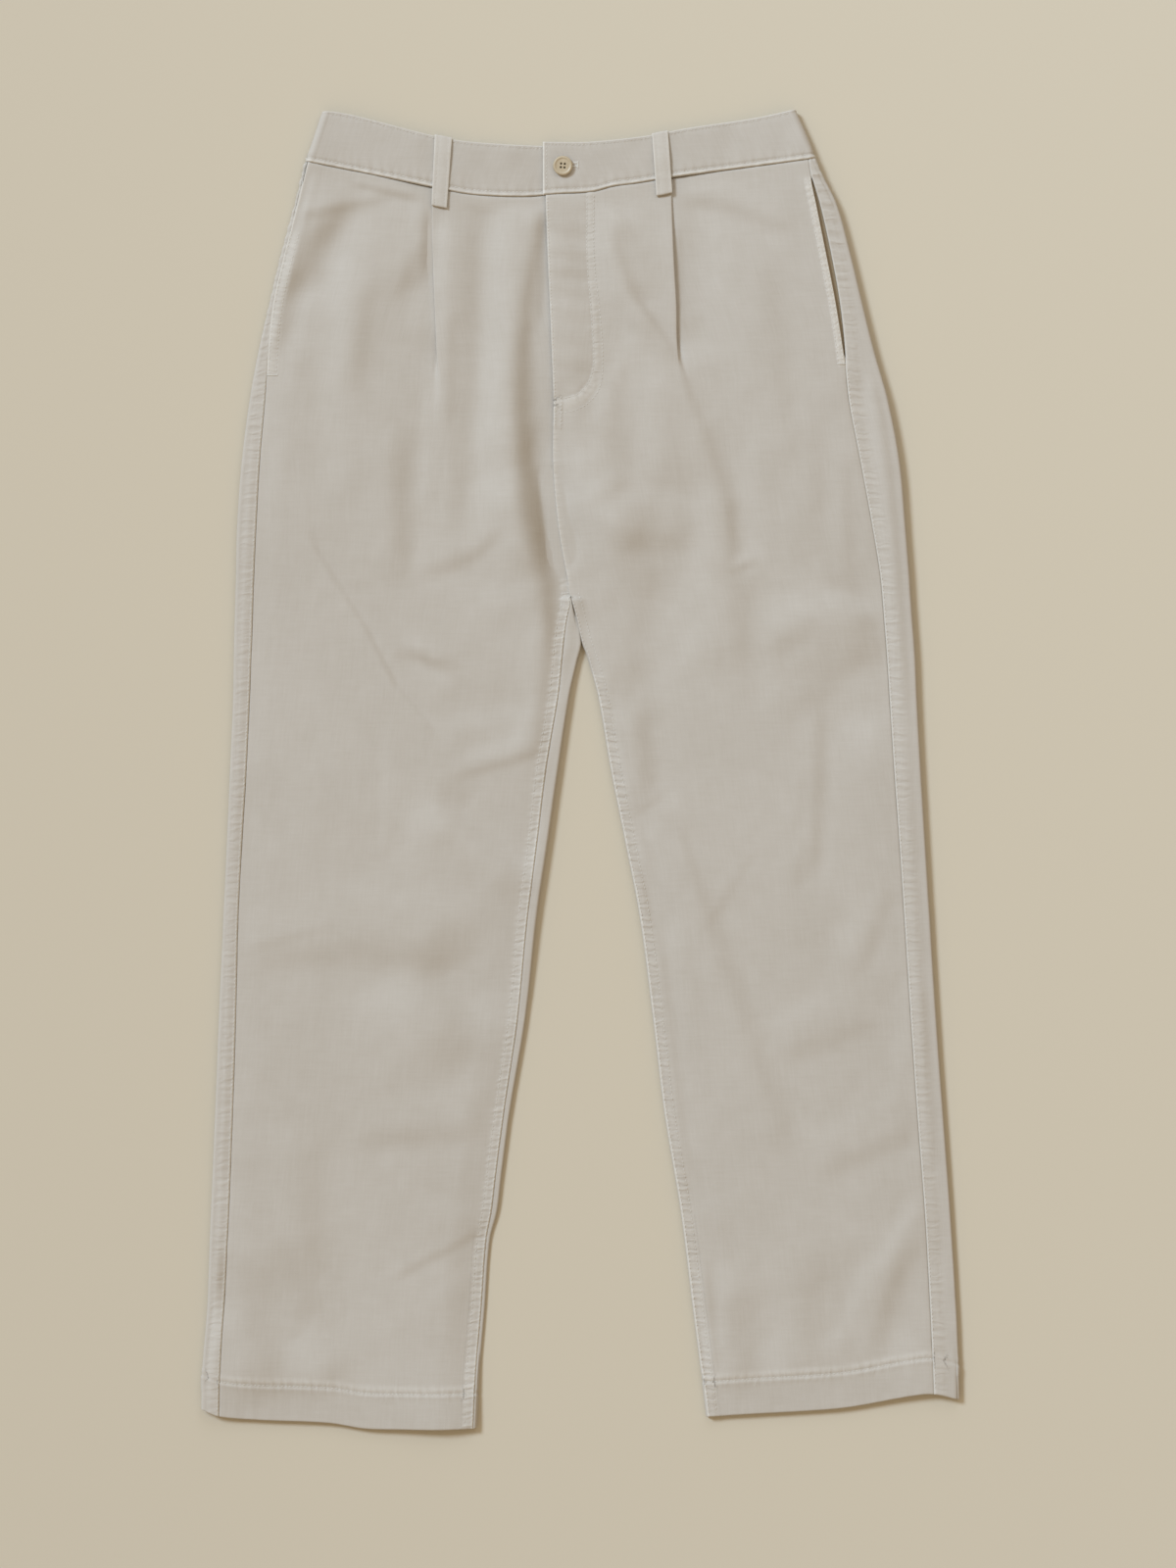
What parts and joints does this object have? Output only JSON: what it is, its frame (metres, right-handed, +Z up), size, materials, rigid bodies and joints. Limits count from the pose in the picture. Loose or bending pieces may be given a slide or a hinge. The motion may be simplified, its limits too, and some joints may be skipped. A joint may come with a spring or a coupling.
{
  "type": "chino trousers",
  "caption": "Pleated straight-leg chino trousers laid flat, with a buttoned waistband, fly, slanted side pockets and turned hems",
  "frame": {"origin": "centre of the bounding box at the surface the trousers lie on", "axes": "+Y runs from the hems to the waistband, +Z up out of the surface through the front of the trousers, +X to the wearer's left"},
  "size_m": [0.6183, 1.0757, 0.012],
  "materials": {
    "front_cloth": "garment-dyed cotton twill, brushed matte, pale warm grey",
    "back_cloth": "garment-dyed cotton twill, brushed matte, pale warm grey",
    "waistband_cloth": "garment-dyed cotton twill, two layers, edge-stitched",
    "belt_loop_cloth": "garment-dyed cotton twill, folded strip",
    "pocket_facing_cloth": "cotton twill inside the pocket mouths",
    "button": "tan four-hole button, soft gloss"
  },
  "bodies": {
    "root": {"front_right": "front_cloth", "front_left": "front_cloth", "back_right": "back_cloth", "back_left": "back_cloth", "waistband_right": "waistband_cloth", "waistband_left": "waistband_cloth", "belt_loop_right": "belt_loop_cloth", "belt_loop_left": "belt_loop_cloth", "pocket_facing_right": "pocket_facing_cloth", "pocket_facing_left": "pocket_facing_cloth", "button": "button"}
  },
  "joints": []
}
